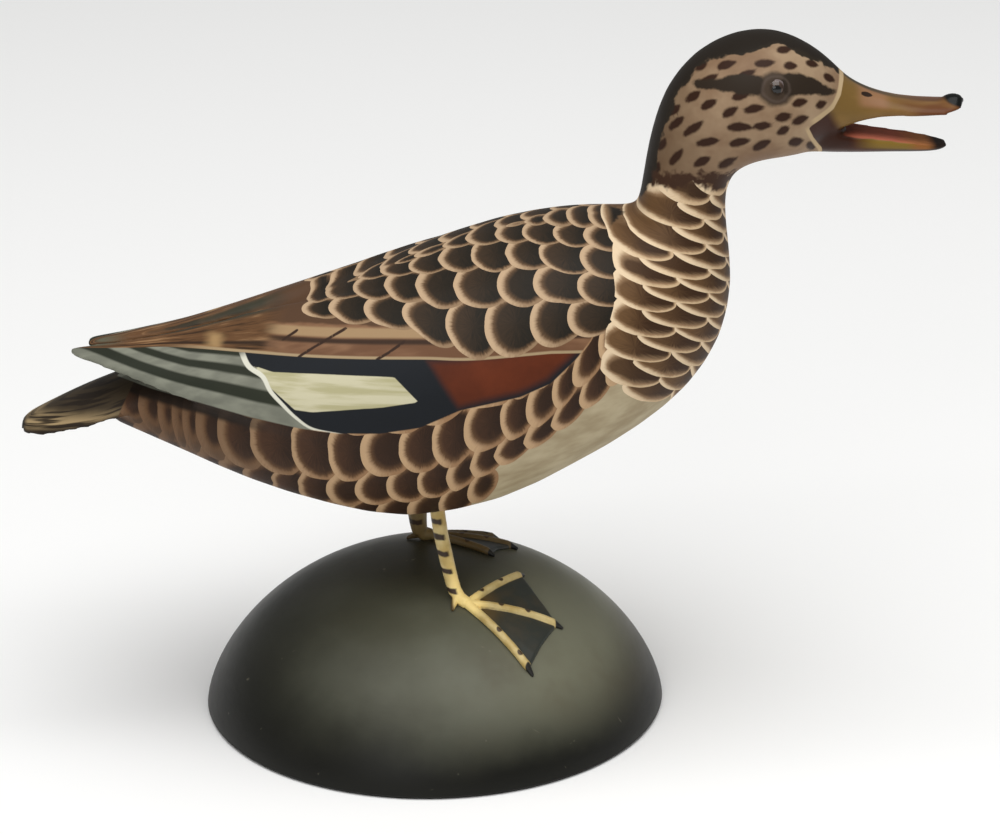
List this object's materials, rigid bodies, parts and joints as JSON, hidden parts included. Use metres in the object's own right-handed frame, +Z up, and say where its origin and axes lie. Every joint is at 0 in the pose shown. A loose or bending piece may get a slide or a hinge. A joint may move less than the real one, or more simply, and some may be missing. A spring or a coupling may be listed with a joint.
{
  "type": "miniature gadwall decoy",
  "caption": "Miniature carved and painted hen gadwall, bill open, wings folded, standing on webbed feet on a turned wooden dome; a shelf ornament.",
  "frame": {"origin": "centre of the base's flat underside", "axes": "+X towards the bill tip, +Y to the bird's left, +Z up"},
  "size_m": [0.1117, 0.056, 0.0837],
  "materials": {
    "plumage_paint": "oil paint on carved wood, low sheen",
    "eye_glass": "polished glass bead",
    "leg_paint": "satin yellow paint with dark bars",
    "base_paint": "dark green-grey paint with a satin varnish"
  },
  "bodies": {
    "root": {"carved_duck": "plumage_paint", "right_eye": "eye_glass", "left_eye": "eye_glass", "right_leg": "leg_paint", "left_leg": "leg_paint", "domed_base": "base_paint"}
  },
  "joints": []
}
